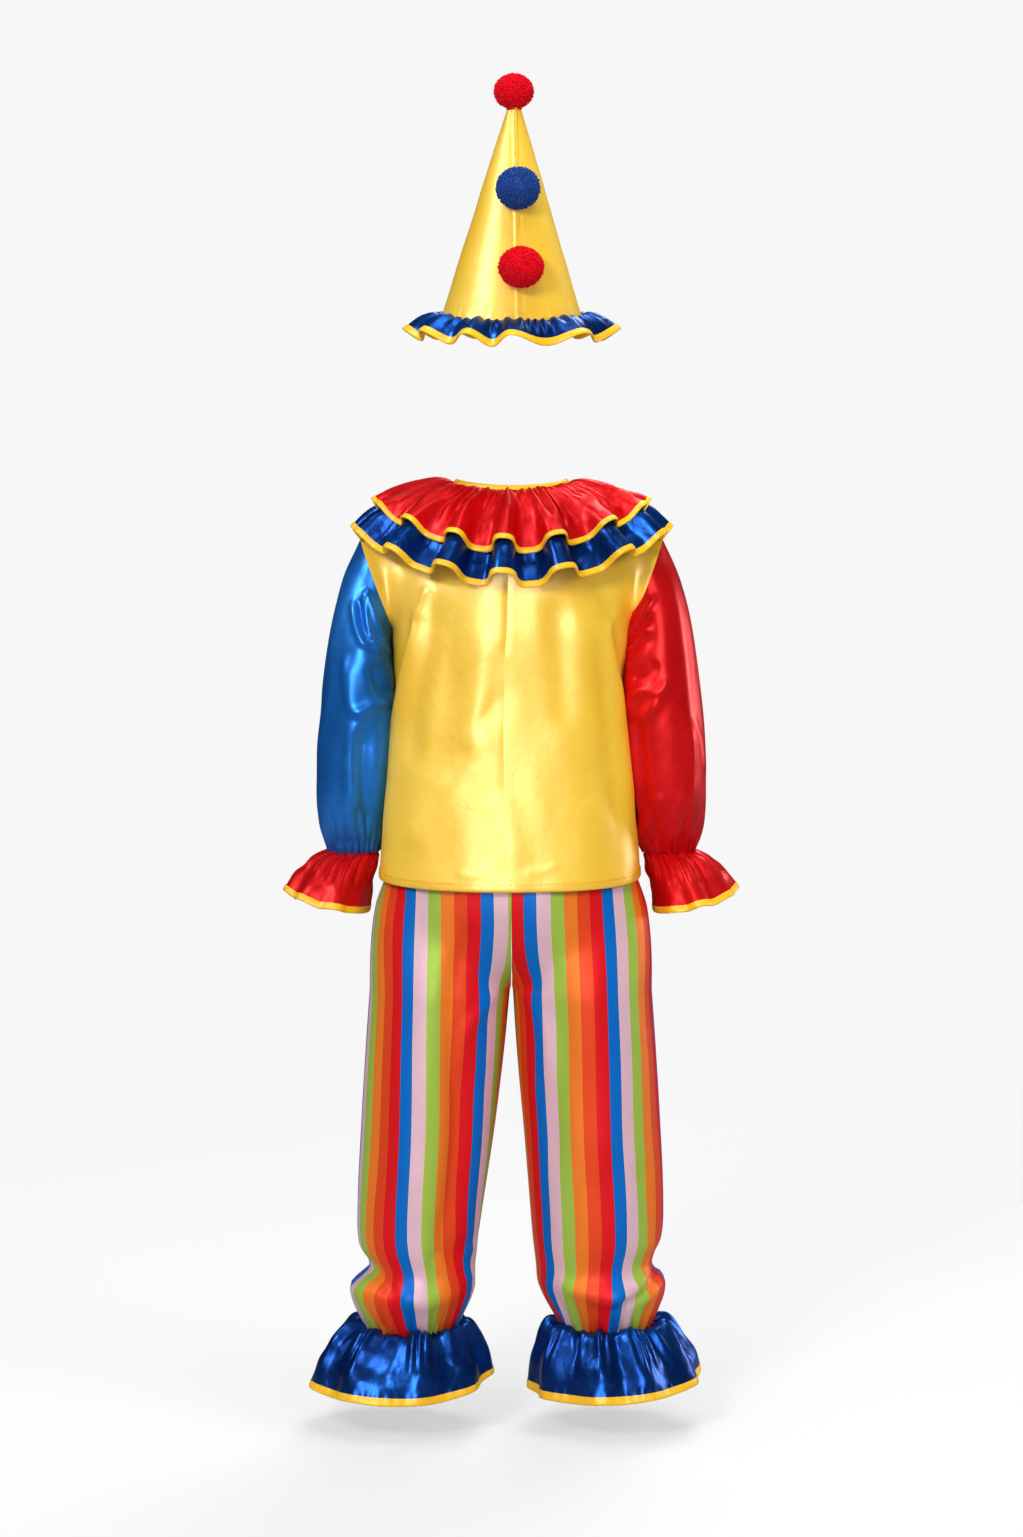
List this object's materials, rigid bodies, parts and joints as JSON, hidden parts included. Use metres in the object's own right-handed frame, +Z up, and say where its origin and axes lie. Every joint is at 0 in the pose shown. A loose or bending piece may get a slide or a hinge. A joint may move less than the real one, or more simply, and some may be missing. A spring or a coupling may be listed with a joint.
{
  "type": "clown costume with pompom hat, worn form",
  "caption": "Child's satin clown costume as worn: cone hat with pompoms, ruffled collar, top with two-colour sleeves, and striped trousers with ruffled ankles.",
  "frame": {"origin": "middle of the neck opening, at the height of the neckline at the sides, where the wearer's neck and shoulders hold the costume", "axes": "+Z up, +Y the way the wearer faces, +X to the wearer's right"},
  "size_m": [0.4602, 0.2348, 1.321],
  "materials": {
    "yellow_satin": "satin",
    "yellow_binding": "satin ribbon",
    "red_satin": "satin",
    "blue_satin": "satin",
    "navy_satin": "satin",
    "striped_satin": "satin with printed stripes",
    "red_yarn": "cut yarn pile",
    "blue_yarn": "cut yarn pile"
  },
  "bodies": {
    "root": {"hat_cone": "yellow_satin", "hat_ruffle": "navy_satin", "hat_ruffle_binding": "yellow_binding", "pompom_tip": "red_yarn", "pompom_upper": "blue_yarn", "pompom_lower": "red_yarn", "top_back_left": "yellow_satin", "top_back_right": "yellow_satin", "top_front": "yellow_satin", "top_hem": "yellow_binding", "left_sleeve": "blue_satin", "right_sleeve": "red_satin", "left_cuff_ruffle": "red_satin", "left_cuff_ruffle_binding": "yellow_binding", "right_cuff_ruffle": "red_satin", "right_cuff_ruffle_binding": "yellow_binding", "collar_upper": "red_satin", "collar_upper_binding": "yellow_binding", "collar_lower": "navy_satin", "collar_lower_binding": "yellow_binding", "neck_binding": "yellow_binding", "waistband": "striped_satin", "trousers_back_left": "striped_satin", "trousers_back_right": "striped_satin", "trousers_front_left": "striped_satin", "trousers_front_right": "striped_satin", "left_ankle_ruffle": "navy_satin", "left_ankle_ruffle_binding": "yellow_binding", "right_ankle_ruffle": "navy_satin", "right_ankle_ruffle_binding": "yellow_binding"}
  },
  "joints": []
}
